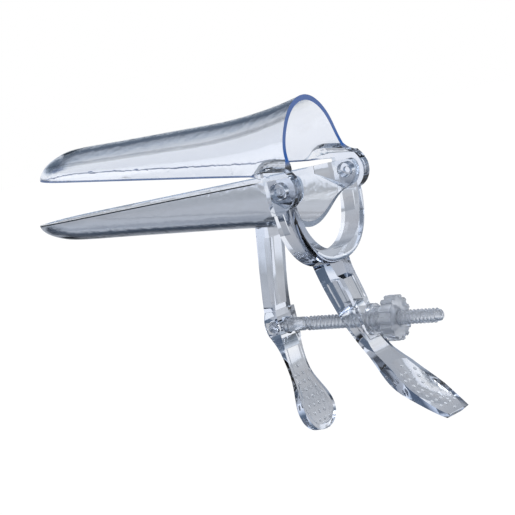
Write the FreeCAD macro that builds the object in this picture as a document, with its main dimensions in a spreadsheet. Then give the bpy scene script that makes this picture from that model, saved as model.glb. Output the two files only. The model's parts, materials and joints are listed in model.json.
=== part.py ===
import FreeCAD, Part
import math
import os
import Sketcher
from FreeCAD import Matrix, Placement, Rotation, Vector

# Bivalve speculum with a middle screw, moulded in clear plastic.
# Frame: origin in the middle of the hinge axis, +X towards the user (the blades point to -X),
# +Y along the hinge axis, +Z towards the upper blade. Millimetres.
# The lower blade lies level. The upper blade, its yoke and its lever are one moulding, drawn with
# the blades shut and then turned open about the hinge axis.

SIZES = {
    # blades
    "parting_height": 3.7,
    "closed_gap": 0.3,
    "blade_wall": 1.8,
    "blade_tip_reach": 107.5,
    "upper_tip_reach": 104.5,
    "tip_half_width": 11.6,
    "mouth_half_width": 19.0,
    "width_flare": 1.6,
    "upper_tip_height": 7.9,
    "upper_root_height": 19.4,
    "upper_flare": 4.6,
    "lower_tip_depth": 6.4,
    "lower_root_depth": 17.6,
    "lower_flare": 1.2,
    "flare_reach": 38.0,
    "nose_reach": 15.0,
    "rim_setback": 2.3,
    "rest_opening": 8.0,
    # hinge
    "stud_radius": 2.6,
    "stud_clearance": 0.2,
    "stud_dimple_radius": 1.25,
    "stud_dimple_depth": 1.4,
    "ear_outer": 19.7,
    "ear_thickness": 2.8,
    "ear_radius": 5.2,
    "ear_gap": 0.5,
    # yoke
    "arm_thickness": 4.0,
    "arm_front": 4.3,
    "arm_rear": 2.8,
    "arm_ear_radius": 6.5,
    "yoke_lean": 9.4,
    "yoke_inner_drop": 22.6,
    "yoke_bottom_thickness": 4.4,
    "yoke_edge_radius": 2.0,
    "foot_reach": 13.6,
    "foot_height": 10.4,
    "panel_depth": 0.9,
    # lever
    "lever_half_width": 5.3,
    "lever_wall": 2.0,
    "lever_web": 2.0,
    "lever_paddle_half_width": 9.2,
    "slot_width": 5.5,
    "slot_top_drop": 41.6,
    "slot_length": 11.2,
    "slot_lean": 32.0,
    # front handle
    "handle_half_width": 4.5,
    "handle_wall": 1.9,
    "handle_web": 2.2,
    "boss_half_width": 6.0,
    "boss_top_drop": 38.7,
    "boss_bottom_drop": 49.4,
    "paddle_half_width": 9.2,
    "handle_drop": 79.6,
    # screw
    "screw_head_setback": 25.1,
    "screw_head_drop": 44.0,
    "screw_tilt": 5.0,
    "screw_radius": 2.35,
    "screw_reach": 59.4,
    "screw_nose": 2.0,
    "head_radius": 1.9,
    "head_length": 9.0,
    "head_clearance": 0.15,
    "shank_clearance": 0.35,
    "screw_rock_up": 1.5,
    "screw_rock_down": 5.0,
    # collar and nut
    "collar_seat": 33.8,
    "collar_flange_radius": 5.1,
    "collar_flange_thickness": 1.6,
    "collar_neck_radius": 4.2,
    "collar_length": 6.2,
    "collar_clearance": 0.15,
    "nut_radius": 7.4,
    "nut_thickness": 4.2,
    "nut_flutes": 14,
    "flute_radius": 1.1,
    "nut_clearance": 0.08,
    # pads
    "dish_radius": 60.0,
    "dish_depth": 1.0,
    "pad_rim": 1.4,
    "pad_sink": 0.8,
}

doc = FreeCAD.newDocument("bivalve_speculum")
sheet = doc.addObject("Spreadsheet::Sheet", "Sizes")
for row, (alias, value) in enumerate(SIZES.items(), start=1):
    sheet.set(f"A{row}", alias)
    sheet.set(f"B{row}", str(value))
    sheet.setAlias(f"B{row}", alias)
doc.recompute()


def size(alias):
    """The value of one cell of the sheet."""
    return float(getattr(sheet, alias))


def cell(alias):
    """A formula that reads one cell of the sheet."""
    return "Sizes." + alias


def evaluate(formula):
    """The value now of a formula that names cells of the sheet."""
    return float(sheet.evalExpression(formula.replace("Sizes.", "")))


def bind(made, formulas):
    """Ties properties of an object to formulas on the sheet."""
    for name, formula in formulas.items():
        made.setExpression(name, formula)


def feature(name, shape):
    """A feature of the document that holds a finished shape."""
    made = doc.addObject("Part::Feature", name)
    made.Shape = shape
    return made


def cylinder(name, radius, height, turned, formulas):
    """A round bar or a bore, its sizes and its place tied to the sheet."""
    made = doc.addObject("Part::Cylinder", name)
    made.Placement = Placement(Vector(0, 0, 0), turned)
    bind(made, {"Radius": radius, "Height": height})
    bind(made, formulas)
    return made


def fused(name, members):
    made = doc.addObject("Part::MultiFuse", name)
    made.Shapes = members
    return made


def cut_from(base, tools, name):
    """The base less one tool after another; the last cut has the name."""
    for number, tool in enumerate(tools, start=1):
        cut = doc.addObject("Part::Cut", name if number == len(tools) else f"{name}_less_{tool.Name}")
        cut.Base = base
        cut.Tool = tool
        base = cut
    base.Refine = True
    return base


def smooth(points):
    """A smooth edge through points."""
    curve = Part.BSplineCurve()
    curve.interpolate(points)
    return curve.toShape()


def line(start, end):
    return Part.LineSegment(start, end).toShape()


def slab(edges, along, thickness):
    """A solid pulled from a closed outline, half of it to each side."""
    face = Part.Face(Part.Wire(edges))
    face.translate(along * (-thickness / 2))
    return face.extrude(along * thickness)


def side(x, z):
    """A point of the middle plane."""
    return Vector(x, 0, z)


def rod(radius, start, along, length):
    return Part.makeCylinder(radius, length, start, along)


def both_sides(shape):
    """The shape and its mirror image across the middle plane."""
    return [shape, shape.mirror(Vector(0, 0, 0), Vector(0, 1, 0))]


X_AXIS = Vector(1, 0, 0)
Y_AXIS = Vector(0, 1, 0)
Z_AXIS = Vector(0, 0, 1)
ALONG_Y = Rotation(Z_AXIS, Y_AXIS)
WIDE = 70.0
MOUTH_OVERRUN = 9.0


def nose(share, fullness):
    """How far a rounded nose has closed, from 1 where it starts to 0 at the tip."""
    return (1 - max(share, 0.0) ** fullness) ** (1 / fullness)


def blade_stations(reach, nose_reach):
    """Places along a blade, mouth first, closer together towards the tip."""
    body = [MOUTH_OVERRUN, 0, -8, -18, -30, -44, -60, -76]
    shares = [0, 0.25, 0.45, 0.62, 0.76, 0.87, 0.95, 0.992]
    return body + [-(reach - nose_reach) - nose_reach * share for share in shares]


def blade_section(x, reach, nose_reach, tip_height, root_height, flare, trim):
    """Half width and height of a blade at a station, less the wall that is trimmed off."""
    along = max(-x, 0.0)
    taper = along / size("blade_tip_reach")
    widening = max(0.0, 1 - along / size("flare_reach")) ** 2
    root_width = size("mouth_half_width") - size("width_flare")
    width = root_width + (size("tip_half_width") - root_width) * taper + size("width_flare") * widening
    height = root_height + (tip_height - root_height) * taper + flare * widening
    share = (along - (reach - nose_reach)) / nose_reach
    return (width - trim) * nose(share, 2.5), (height - trim) * nose(share, 2.1)


def arch(x, half_width, height, base, leg):
    """A half oval that stands on the level of the base, with legs that carry on past it."""
    arc = Part.Arc(Vector(0, 1, 0), Vector(0, 0, 1), Vector(0, -1, 0)).toShape()
    stretch = Matrix()
    stretch.scale(1, half_width, height)
    stretch.move(Vector(x, 0, base))
    arc = arc.transformGeometry(stretch)
    if not leg:
        return Part.Wire([arc, line(Vector(x, -half_width, base), Vector(x, half_width, base))])
    low = base - math.copysign(leg, height)
    corners = [Vector(x, -half_width, base), Vector(x, -half_width, low)]
    corners += [Vector(x, half_width, low), Vector(x, half_width, base)]
    return Part.Wire([arc] + [line(a, b) for a, b in zip(corners, corners[1:])])


def blade(reach, tip_height, root_height, flare, base, up, trim, leg):
    """The solid inside one surface of a blade, outer or inner."""
    reach = reach - trim
    nose_reach = size("nose_reach")
    wires = []
    for x in blade_stations(reach, nose_reach):
        width, height = blade_section(x, reach, nose_reach, tip_height, root_height, flare, trim)
        wires.append(arch(x, width, up * height, base, leg))
    return Part.makeLoft(wires, True, False)


# Lower moulding: blade, ears with their hinge studs, and the front handle

def lower_rim():
    """Side view of all that the lower blade keeps: a slanting rim and a rounded ear."""
    top = size("parting_height")
    ear = size("ear_radius")
    corner = 2.4
    low = side(-7.0, -40)
    edges = [
        line(side(-130, top), side(ear - corner, top)),
        Part.Arc(
            side(ear - corner, top), side(ear - 0.3 * corner, top - 0.3 * corner), side(ear, top - corner)
        ).toShape(),
        Part.Arc(side(ear, top - corner), side(ear * 0.8, -ear * 0.6), side(ear * 0.2, -ear)).toShape(),
        smooth([side(ear * 0.2, -ear), side(-2.0, -7.4), side(-4.0, -11.4), side(-5.5, -18)]),
        line(side(-5.5, -18), low),
        line(low, side(-130, -40)),
        line(side(-130, -40), side(-130, top)),
    ]
    return slab(edges, Y_AXIS, WIDE)


def ear():
    """The flat ear on the blade's +Y side, blended forwards into the wall; the rim trims its outline."""
    outer = size("ear_outer")
    inner = outer - size("ear_thickness")
    reach = size("ear_radius") + 1
    plan = [
        Vector(-10, inner, 0),
        Vector(-10, outer - 1.7, 0),
        Vector(-5.4, outer, 0),
        Vector(reach, outer, 0),
        Vector(reach, inner, 0),
    ]
    block = slab([line(a, b) for a, b in zip(plan, plan[1:] + plan[:1])], Z_AXIS, WIDE)
    shape = [side(-10, 6), side(reach, 6), side(reach, -reach), side(0.6, -reach), side(-10, 0.8)]
    return block.common(slab([line(a, b) for a, b in zip(shape, shape[1:] + shape[:1])], Y_AXIS, WIDE))


def handle_side():
    """Side view of the front handle: a bowed stem that thins below the boss into the finger pad."""
    front = [side(-22.9, -9), side(-25.3, -22), side(-26.9, -33), side(-27.2, -42), side(-26.3, -48)]
    front_low = [side(-26.3, -48), side(-24.5, -52), side(-23.0, -59), side(-21.6, -65.5), side(-20.6, -72)]
    front_low.append(side(-19.6, -size("handle_drop")))
    rear_low = [side(-17.0, -size("handle_drop")), side(-17.6, -73), side(-19.4, -66.6), side(-21.2, -61)]
    rear_low += [side(-22.2, -55), side(-22.3, -49.5)]
    rear = [side(-22.3, -49.5), side(-22.9, -38.5)]
    rear_top = [side(-22.9, -38.5), side(-21.4, -29), side(-19.8, -20), side(-18.4, -9)]
    return [
        smooth(front),
        smooth(front_low),
        line(front_low[-1], rear_low[0]),
        smooth(rear_low),
        line(rear[0], rear[1]),
        smooth(rear_top),
        line(rear_top[-1], front[0]),
    ]


def face_on(points):
    """A closed outline across the object, from the points of its +Y half, top to bottom."""
    left = [Vector(0, -p.y, p.z) for p in points]
    return [smooth(points), smooth(left), line(points[0], left[0])]


def handle_outline():
    """Front view of the stem and the finger pad."""
    stem = size("handle_half_width")
    pad = size("paddle_half_width")
    drop = size("handle_drop")
    return [
        Vector(0, stem + 0.4, -9),
        Vector(0, stem, -20),
        Vector(0, stem, -34),
        Vector(0, stem + 0.9, -44),
        Vector(0, stem + 0.9, -56),
        Vector(0, stem + 1.2, -61),
        Vector(0, pad * 0.86, -67),
        Vector(0, pad, -72),
        Vector(0, pad * 0.86, -76.2),
        Vector(0, pad * 0.5, -drop + 0.8),
        Vector(0, 0, -drop),
    ]


def front_handle(blade_outer):
    """The front handle without its pockets."""
    stem = slab(handle_side(), Y_AXIS, WIDE).common(slab(face_on(handle_outline()), X_AXIS, 2 * WIDE))
    top = -size("boss_top_drop")
    bottom = -size("boss_bottom_drop")
    edges = [
        line(side(-22.3, top), side(-26.4, top)),
        Part.Arc(side(-26.4, top), side(-27.5, top - 4.4), side(-26.6, top - 8.2)).toShape(),
        line(side(-26.6, top - 8.2), side(-24.9, bottom)),
        line(side(-24.9, bottom), side(-22.3, bottom)),
        line(side(-22.3, bottom), side(-22.3, top)),
    ]
    boss = slab(edges, Y_AXIS, 2 * size("boss_half_width"))
    return stem.fuse(boss).cut(blade_outer)


def handle_channel():
    """The open channel down the back of the upper stem."""
    web = size("handle_web")
    rear = -10
    front = [side(-24.0 + web, -15), side(-25.4 + web, -23), side(-26.9 + web, -34), side(-27.1 + web, -37)]
    edges = [
        smooth(front),
        line(front[-1], side(rear, -37)),
        line(side(rear, -37), side(rear, -15)),
        line(side(rear, -15), front[0]),
    ]
    return slab(edges, Y_AXIS, 2 * (size("handle_half_width") - size("handle_wall")))


def finger_recess():
    """The sunk field of the finger pad's rear face, inside a raised rim."""
    rim = size("pad_rim")
    sink = size("pad_sink")
    curve = [side(-17.2 - sink, -82), side(-17.6 - sink, -73), side(-19.4 - sink, -66.6)]
    curve += [side(-21.2 - sink, -61), side(-22.2 - sink, -55), side(-22.4 - sink, -51)]
    edges = [
        smooth(curve),
        line(curve[-1], side(-5, -51)),
        line(side(-5, -51), side(-5, -82)),
        line(side(-5, -82), curve[0]),
    ]
    stem = size("handle_half_width") + 0.9 - rim
    pad = size("paddle_half_width") - rim
    outline = [
        Vector(0, stem, -51.5),
        Vector(0, stem, -56.5),
        Vector(0, stem + 0.5, -61.5),
        Vector(0, pad * 0.84, -67.4),
        Vector(0, pad, -72),
        Vector(0, pad * 0.8, -75.8),
        Vector(0, pad * 0.42, -77.6),
        Vector(0, 0, -78.0),
    ]
    return slab(edges, Y_AXIS, WIDE).common(slab(face_on(outline), X_AXIS, 2 * WIDE))


def head_centre():
    return side(-size("screw_head_setback"), -size("screw_head_drop"))


def head_pocket():
    """The seat of the screw's cross head, open to the front, and the hole for its shank."""
    radius = cell("head_radius") + " + " + cell("head_clearance")
    length = cell("head_length") + " + 2 * " + cell("head_clearance")
    at_head = {
        "Placement.Base.x": "-" + cell("screw_head_setback"),
        "Placement.Base.z": "-" + cell("screw_head_drop"),
    }
    seat = cylinder("head_seat", radius, length, ALONG_Y, {**at_head, "Placement.Base.y": f"-({length}) / 2"})
    mouth = doc.addObject("Part::Box", "head_mouth")
    mouth.Length = 6
    bind(mouth, {
        "Width": length,
        "Height": f"2 * ({radius}) - 0.3",
        "Placement.Base.x": "-" + cell("screw_head_setback") + " - 6",
        "Placement.Base.y": f"-({length}) / 2",
        "Placement.Base.z": "-" + cell("screw_head_drop") + f" + 0.15 - ({radius})",
    })
    hole = cell("screw_radius") + " + " + cell("shank_clearance")
    pockets = [seat, mouth]
    rocks = {"up": "- " + cell("screw_rock_up"), "rest": "", "down": "+ " + cell("screw_rock_down")}
    for name, rock in rocks.items():
        tilt = {"Placement.Rotation.Angle": "90 + " + cell("screw_tilt") + " " + rock}
        pockets.append(cylinder(f"shank_hole_{name}", hole, "9", Rotation(Y_AXIS, 90), {**at_head, **tilt}))
    return pockets


def hinge_studs():
    """The two studs that the yoke's arms turn on, each with a dimple in its end."""
    end = cell("ear_outer") + " + " + cell("ear_gap") + " + " + cell("arm_thickness")
    root = cell("ear_outer") + " - 1"
    depth = cell("stud_dimple_depth")
    made = []
    for name, start, dimple_start in (
        ("far", root, f"{end} - {depth}"),
        ("near", f"-({end})", f"-({end}) - 1"),
    ):
        bar = cylinder(
            f"stud_{name}_bar", cell("stud_radius"), f"{end} - ({root})", ALONG_Y, {"Placement.Base.y": start}
        )
        dimple = cylinder(
            f"stud_{name}_dimple", cell("stud_dimple_radius"), f"{depth} + 1", ALONG_Y,
            {"Placement.Base.y": dimple_start},
        )
        made.append(cut_from(bar, [dimple], f"stud_{name}"))
    return made


outer_lower = blade(
    size("blade_tip_reach"), size("lower_tip_depth"), size("lower_root_depth"), size("lower_flare"),
    size("parting_height"), -1, 0.0, 0.0,
)
inner_lower = blade(
    size("blade_tip_reach"), size("lower_tip_depth"), size("lower_root_depth"), size("lower_flare"),
    size("parting_height"), -1, size("blade_wall"), 1.0,
)
shell = outer_lower.cut(inner_lower).fuse(both_sides(ear())).common(lower_rim())
lower_parts = [feature("lower_shell", shell), feature("handle_stem", front_handle(outer_lower))]
lower_whole = fused("lower_whole", lower_parts + hinge_studs())
lower_cuts = [feature("handle_channel", handle_channel()), feature("finger_recess", finger_recess())]
lower_blade = cut_from(lower_whole, lower_cuts + head_pocket(), "lower_blade")


# Upper moulding, drawn shut: blade, feet, yoke and lever

def foot(trim):
    """The flare that carries the blade's side out to the arm, as a solid on the +Y side."""
    base = size("parting_height") + size("closed_gap")
    full = size("ear_outer") + size("ear_gap") + (0 if trim else size("arm_thickness"))
    start = -size("foot_reach")
    wires = []
    for x in (start, -11.6, -9.6, -7.6, -5.6, -3.6, -1.6, 1.0, MOUTH_OVERRUN):
        spread = min((x - start) / (size("foot_reach") - size("arm_front")), 1.0)
        grown = 0.5 - 0.5 * math.cos(math.pi * spread)
        risen = math.sin(math.pi / 2 * min((x - start) / size("foot_reach"), 1.0))
        width, height = blade_section(
            x, size("upper_tip_reach"), size("nose_reach"), size("upper_tip_height"),
            size("upper_root_height"), size("upper_flare"), trim,
        )
        out = width + 0.05 + (full - width - 0.05) * grown
        lift = 0.1 + (size("foot_height") - trim) * risen
        edge_lift = 0.05 + (2.4 - trim / 3) * grown
        inside = width - 3.0
        low = base - (1.0 if trim else 0)
        upper_y = width * math.sqrt(max(0.0, 1 - (lift / height) ** 2)) - 0.3
        a = Vector(x, inside, low)
        b = Vector(x, out, low)
        c = Vector(x, out, base + edge_lift)
        d = Vector(x, upper_y, base + lift)
        e = Vector(x, min(inside, upper_y - 1.0), base + lift)
        middle = (c + d) * 0.5 - Vector(0, 0.12, 0.16) * (d - c).Length * grown
        middle -= Vector(0, 0.01, 0.01)
        hollow = Part.Arc(c, middle, d).toShape()
        wires.append(Part.Wire([line(a, b), line(b, c), hollow, line(d, e), line(e, a)]))
    return Part.makeLoft(wires, True, True)


def upper_rim():
    """Side view of all that the upper blade keeps: an upright rim that sweeps back to the ears."""
    base = size("parting_height") + size("closed_gap")
    back = 0.4 - size("rim_setback")
    low_end = side(size("arm_ear_radius") - 1.3, base)
    sweep = [low_end, side(3.9, base + 1.5), side(2.0, base + 3.2), side(0.5, base + 6), side(-0.3, base + 9)]
    sweep += [side(-0.9, base + 14), side(-1.5, base + 20), side(back, base + 26)]
    edges = [
        line(side(-130, base), low_end),
        smooth(sweep),
        line(sweep[-1], side(back, 60)),
        line(side(back, 60), side(-130, 60)),
        line(side(-130, 60), side(-130, base)),
    ]
    return slab(edges, Y_AXIS, WIDE)


def yoke_curve(half_width, drop, top, points):
    """One side of a U, from the top of an arm to the middle of the bottom."""
    fullness = 2.4
    made = [Vector(0, half_width, top)]
    for step in range(points + 1):
        turn = math.pi / 2 * step / points
        across = half_width * math.cos(turn) ** (2 / fullness)
        made.append(Vector(0, across, -drop * math.sin(turn) ** (2 / fullness)))
    return made


def rounded_behind(ring, top):
    """The yoke's outer form with its rear edge rounded off."""
    rear = []
    for edge in ring.Edges:
        box = edge.BoundBox
        if box.XMin > size("arm_rear") - 0.01 and box.ZMin < top - 0.01:
            rear.append(edge)
    return ring.makeFillet(size("yoke_edge_radius"), rear)


def yoke():
    """The U-shaped yoke around the mouth, with its ears and the sunk panels below the studs."""
    inner = size("ear_outer") + size("ear_gap")
    outer = inner + size("arm_thickness")
    drop = size("yoke_inner_drop")
    top = 5.6
    rings = []
    for half_width, depth in ((outer, drop + size("yoke_bottom_thickness")), (inner, drop)):
        curve = yoke_curve(half_width, depth, top, 9)
        left = [Vector(0, -p.y, p.z) for p in curve]
        edges = [line(curve[0], curve[1]), smooth(curve[1:]), smooth(left[1:]), line(left[0], left[1])]
        edges.append(line(left[0], curve[0]))
        face = Part.Face(Part.Wire(edges))
        face.translate(X_AXIS * -size("arm_front"))
        rings.append(face.extrude(X_AXIS * (size("arm_front") + size("arm_rear"))))
    band = rounded_behind(rings[0], top).cut(rings[1])
    panel = Part.makeBox(
        size("arm_front"), 2 * size("panel_depth"), 14.5,
        Vector(-size("arm_front") - 0.4, outer - size("panel_depth") - 0.35, -21.7),
    )
    panel.rotate(Vector(0, outer, -4.4), X_AXIS, -5.5)
    band = band.cut(both_sides(panel))
    band.rotate(Vector(0, 0, 0), Y_AXIS, -size("yoke_lean"))
    lobe = rod(size("arm_ear_radius"), Vector(0, inner, 0), Y_AXIS, size("arm_thickness"))
    lobe = lobe.common(Part.makeBox(20, WIDE, 40, Vector(-1.5, 0, -20)))
    head = size("parting_height") + size("closed_gap") + 0.4
    return band.fuse(both_sides(lobe)).common(Part.makeBox(40, WIDE, 60, Vector(-20, -WIDE / 2, head - 60)))


LEVER_FRONT = [(-1.2, -25.5), (0.4, -31.2), (4.7, -40.3), (8.1, -46.5), (10.6, -50.0), (14.2, -54.2)]
LEVER_UNDER = [(14.2, -54.2), (18.0, -58.2), (22.6, -63.2), (27.0, -66.9), (31.5, -69.7), (36.5, -72.8)]
LEVER_UNDER.append((41.0, -76.0))
LEVER_TOP = [(42.9, -74.4), (37.6, -70.9), (32.0, -66.4), (27.2, -62.3), (22.6, -58.7), (18.6, -55.4)]
LEVER_REAR = [(18.6, -55.4), (15.8, -51.4), (13.7, -46.0), (11.8, -40.4), (9.2, -34.0), (6.6, -28.5)]
LEVER_REAR.append((5.2, -25.0))


def lever_blank():
    """The lever and its thumb pad, from a side view and a rear view."""
    front = [side(*p) for p in LEVER_FRONT]
    under = [side(*p) for p in LEVER_UNDER]
    top = [side(*p) for p in LEVER_TOP]
    rear = [side(*p) for p in LEVER_REAR]
    edges = [smooth(front), smooth(under), line(under[-1], top[0]), smooth(top), smooth(rear)]
    edges.append(line(rear[-1], front[0]))
    stem = size("lever_half_width")
    pad = size("lever_paddle_half_width")
    outline = [
        Vector(0, stem + 1.6, -24.5),
        Vector(0, stem + 0.2, -31),
        Vector(0, stem, -37),
        Vector(0, stem, -50),
        Vector(0, stem + 0.7, -55.5),
        Vector(0, pad * 0.82, -60.5),
        Vector(0, pad, -66),
        Vector(0, pad * 0.93, -71),
        Vector(0, pad * 0.66, -75),
        Vector(0, pad * 0.3, -76.9),
        Vector(0, 0, -77.3),
    ]
    blank = slab(edges, Y_AXIS, WIDE).common(slab(face_on(outline), X_AXIS, 3 * WIDE))
    return blank.cut(dish(side(31.4, -65.8), side(19.0, 24.3)))


def dish(middle, outward):
    """A ball that hollows a pad by the dish depth at its middle."""
    radius = size("dish_radius")
    away = Vector(outward).normalize()
    ball = Part.makeSphere(radius)
    ball.translate(middle + away * (radius - size("dish_depth")))
    return ball


def lever_pockets():
    """The channel at the back of the lever, above and below its cross rib, and the screw's slot."""
    web = size("lever_web") * 1.15
    half = size("lever_half_width") - size("lever_wall")
    upper = [side(1.6 + web, -31.6), side(4.2 + web, -37.2), side(5.2 + web, -39.2)]
    lower = [side(6.3 + web, -41.4), side(8.8 + web, -46.3), side(12.3 + web, -51.4)]
    cuts = []
    for front in (upper, lower):
        back = 24.0
        edges = [
            smooth(front),
            line(front[-1], side(back, front[-1].z)),
            line(side(back, front[-1].z), side(back, front[0].z)),
            line(side(back, front[0].z), front[0]),
        ]
        cuts.append(slab(edges, Y_AXIS, 2 * half))
    return cuts + [screw_slot()]


def screw_slot():
    """A long round-ended slot through the web."""
    radius = size("slot_width") / 2
    run = size("slot_length") - 2 * radius
    lean = math.radians(size("slot_lean"))
    down = Vector(math.sin(lean), 0, -math.cos(lean))
    through = Vector(math.cos(lean), 0, math.sin(lean))
    top = side(7.0, -size("slot_top_drop") - radius)
    start = top - through * 8
    slot = rod(radius, start, through, 20)
    end = slot.copy()
    end.translate(down * run)
    middle = Part.makeBox(run, 2 * radius, 20)
    middle.Placement = Placement(start - Y_AXIS * radius, Rotation(down, Y_AXIS * 1, through, "XYZ"))
    return slot.fuse([end, middle])


def lever_side_panels():
    """Sunk panels on the lever's two sides, above the cross rib."""
    depth = 0.7
    front = [side(3.0, -33.0), side(6.6, -40.4)]
    edges = [
        line(front[0], front[1]),
        line(front[1], side(9.9, -39.0)),
        line(side(9.9, -39.0), side(6.6, -31.4)),
        line(side(6.6, -31.4), front[0]),
    ]
    plate = slab(edges, Y_AXIS, 2 * depth)
    plate.translate(Y_AXIS * size("lever_half_width"))
    return both_sides(plate)


upper_base = size("parting_height") + size("closed_gap")
outer_upper = blade(
    size("upper_tip_reach"), size("upper_tip_height"), size("upper_root_height"), size("upper_flare"),
    upper_base, 1, 0.0, 0.0,
)
inner_upper = blade(
    size("upper_tip_reach"), size("upper_tip_height"), size("upper_root_height"), size("upper_flare"),
    upper_base, 1, size("blade_wall"), 1.0,
)
outer_body = outer_upper.fuse(both_sides(foot(0.0)))
hollow = inner_upper.fuse(both_sides(foot(size("blade_wall"))))
upper_shell = outer_body.cut(hollow).common(upper_rim())
upper_parts = {"upper_shell": upper_shell, "yoke": yoke(), "lever": lever_blank()}
upper_whole = fused("upper_whole", [feature(name, shape) for name, shape in upper_parts.items()])
arm_bore = cylinder(
    "arm_bore", cell("stud_radius") + " + " + cell("stud_clearance"), str(WIDE), ALONG_Y,
    {"Placement.Base.y": str(-WIDE / 2)},
)
upper_cuts = [arm_bore]
for number, shape in enumerate(lever_pockets() + lever_side_panels(), start=1):
    upper_cuts.append(feature(f"lever_pocket_{number}", shape))
upper_blade = cut_from(upper_whole, upper_cuts, "upper_blade")
upper_blade.Placement = Placement(Vector(0, 0, 0), Rotation(Y_AXIS, size("rest_opening")))
upper_blade.setExpression("Placement.Rotation.Angle", cell("rest_opening"))


# Screw, collar and nut, drawn along +X from the centre of the screw's head

def new_body(label):
    """A body that lies along the screw: its origin is the middle of the screw's head."""
    body = doc.addObject("PartDesign::Body", label)
    body.Placement = Placement(head_centre(), Rotation(Y_AXIS, size("screw_tilt")))
    bind(body, {
        "Placement.Base.x": "-" + cell("screw_head_setback"),
        "Placement.Base.z": "-" + cell("screw_head_drop"),
        "Placement.Rotation.Angle": cell("screw_tilt"),
    })
    return body


def plane_of(body, role):
    return [f for f in body.Origin.OriginFeatures if f.Role == role][0]


def sketch_on(body, role, name):
    sketch = body.newObject("Sketcher::SketchObject", name)
    sketch.AttachmentSupport = [(plane_of(body, role), "")]
    sketch.MapMode = "FlatFace"
    return sketch


def revolve_profile(body, name, corners):
    """A solid of revolution about X. Each corner is (along, out), each a formula on the sheet."""
    sketch = sketch_on(body, "XY_Plane", name)
    count = len(corners)
    spots = [Vector(float(evaluate(a)), float(evaluate(r)), 0) for a, r in corners]
    for i in range(count):
        sketch.addGeometry(Part.LineSegment(spots[i], spots[(i + 1) % count]), False)
    for i in range(count):
        sketch.addConstraint(Sketcher.Constraint("Coincident", i, 2, (i + 1) % count, 1))
    for i, (along, out) in enumerate(corners):
        for kind, formula in (("DistanceX", along), ("DistanceY", out)):
            value = evaluate(formula)
            if abs(value) < 1e-9:
                axis = -2 if kind == "DistanceX" else -1
                sketch.addConstraint(Sketcher.Constraint("PointOnObject", i, 1, axis))
                continue
            index = sketch.addConstraint(Sketcher.Constraint(kind, -1, 1, i, 1, value))
            sketch.setExpression(f"Constraints[{index}]", formula)
    turned = body.newObject("PartDesign::Revolution", name + "_turned")
    turned.Profile = sketch
    turned.ReferenceAxis = (sketch, ["H_Axis"])
    turned.Angle = 360
    body.Tip = turned
    return turned


screw_body = new_body("screw")
revolve_profile(
    screw_body, "shank_profile",
    [
        ("0", "0"),
        ("0", cell("screw_radius")),
        (cell("screw_reach") + " - " + cell("screw_nose"), cell("screw_radius")),
        (cell("screw_reach") + " - 0.35 * " + cell("screw_nose"), "0.72 * " + cell("screw_radius")),
        (cell("screw_reach"), "0.3 * " + cell("screw_radius")),
        (cell("screw_reach"), "0"),
    ],
)
head_sketch = sketch_on(screw_body, "XZ_Plane", "head_profile")
head_sketch.addGeometry(Part.Circle(Vector(0, 0, 0), Vector(0, 0, 1), size("head_radius")), False)
head_sketch.addConstraint(Sketcher.Constraint("Coincident", 0, 3, -1, 1))
radius_index = head_sketch.addConstraint(Sketcher.Constraint("Radius", 0, size("head_radius")))
head_sketch.setExpression(f"Constraints[{radius_index}]", cell("head_radius"))
head_pad = screw_body.newObject("PartDesign::Pad", "head")
head_pad.Profile = head_sketch
head_pad.Length = size("head_length")
head_pad.setExpression("Length", cell("head_length"))
head_pad.Midplane = True
screw_body.Tip = head_pad

collar_body = new_body("thrust_collar")
seat = cell("collar_seat")
collar_bore = cell("screw_radius") + " + " + cell("collar_clearance")
revolve_profile(
    collar_body, "collar_profile",
    [
        (seat, collar_bore),
        (seat, cell("collar_flange_radius")),
        (seat + " + " + cell("collar_flange_thickness"), cell("collar_flange_radius")),
        (seat + " + " + cell("collar_flange_thickness"), cell("collar_neck_radius")),
        (seat + " + " + cell("collar_length"), cell("collar_neck_radius")),
        (seat + " + " + cell("collar_length"), collar_bore),
    ],
)

nut_body = new_body("thumb_nut")
nut_seat = seat + " + " + cell("collar_length")
nut_bore = cell("screw_radius") + " + " + cell("nut_clearance")
revolve_profile(
    nut_body, "nut_profile",
    [
        (nut_seat, nut_bore),
        (nut_seat, cell("nut_radius") + " - 0.6"),
        (nut_seat + " + 0.6", cell("nut_radius")),
        (nut_seat + " + " + cell("nut_thickness") + " - 0.6", cell("nut_radius")),
        (nut_seat + " + " + cell("nut_thickness"), cell("nut_radius") + " - 0.6"),
        (nut_seat + " + " + cell("nut_thickness"), nut_bore),
    ],
)
flute_sketch = sketch_on(nut_body, "YZ_Plane", "flute_profile")
flute_circle = Part.Circle(Vector(0, size("nut_radius"), 0), Vector(0, 0, 1), size("flute_radius"))
flute_sketch.addGeometry(flute_circle, False)
flute_sketch.addConstraint(Sketcher.Constraint("PointOnObject", 0, 3, -2))
at_rim = flute_sketch.addConstraint(
    Sketcher.Constraint("DistanceY", -1, 1, 0, 3, size("nut_radius") + 0.35 * size("flute_radius"))
)
flute_sketch.setExpression(f"Constraints[{at_rim}]", cell("nut_radius") + " + 0.35 * " + cell("flute_radius"))
flute_index = flute_sketch.addConstraint(Sketcher.Constraint("Radius", 0, size("flute_radius")))
flute_sketch.setExpression(f"Constraints[{flute_index}]", cell("flute_radius"))
flute = nut_body.newObject("PartDesign::Pocket", "flute")
flute.Profile = flute_sketch
flute.Type = 1
flute.Midplane = True
nut_body.Tip = flute
doc.recompute()
flutes = nut_body.newObject("PartDesign::PolarPattern", "flutes")
flutes.Originals = [flute]
flutes.Axis = (flute_sketch, ["N_Axis"])
flutes.Angle = 360
flutes.Occurrences = int(size("nut_flutes"))
flutes.setExpression("Occurrences", cell("nut_flutes"))
nut_body.Tip = flutes
doc.recompute()

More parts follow.
